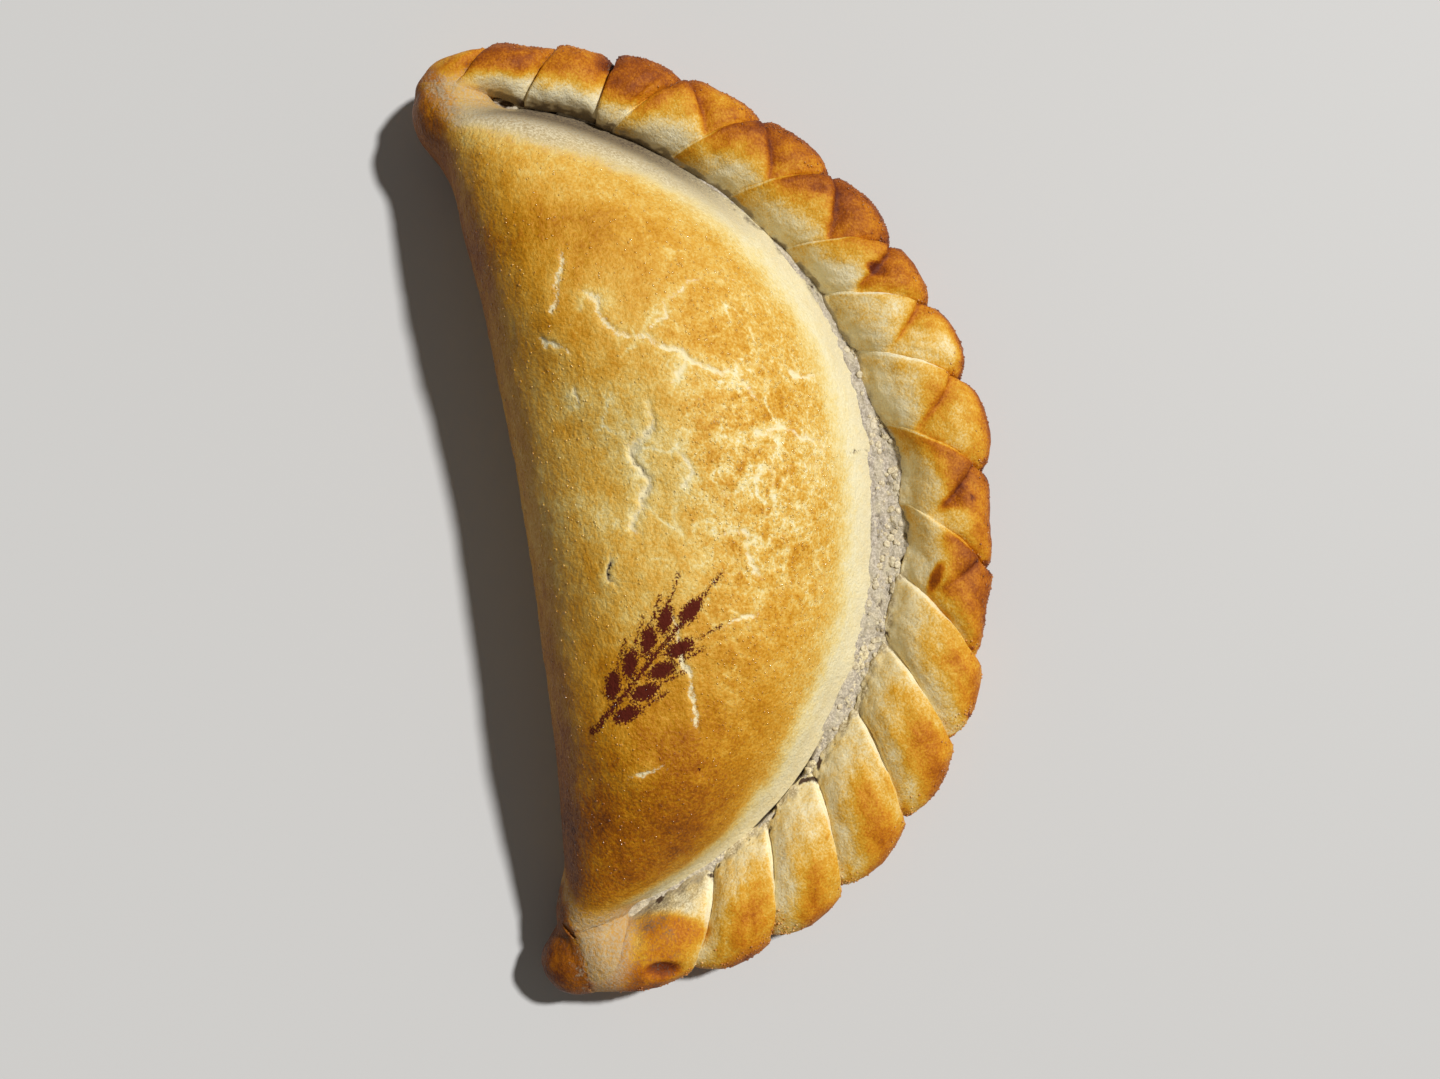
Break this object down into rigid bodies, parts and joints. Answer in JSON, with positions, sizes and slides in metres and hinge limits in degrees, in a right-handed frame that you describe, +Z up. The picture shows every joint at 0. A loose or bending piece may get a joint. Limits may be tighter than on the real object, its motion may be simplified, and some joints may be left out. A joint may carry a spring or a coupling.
{
  "type": "empanada",
  "caption": "Baked half-moon empanada with a domed, egg-washed crust and a hand-twisted rope crimp along its curved edge.",
  "frame": {"origin": "middle of the bounding box's floor, on the table under the pastry", "axes": "+X along the folded edge towards the tip that curls up more, -Y towards the crimped edge, +Z up"},
  "size_m": [0.1396, 0.0767, 0.029],
  "materials": {
    "crust": "baked and egg-washed, satin"
  },
  "bodies": {
    "root": {"empanada": "crust"}
  },
  "joints": []
}
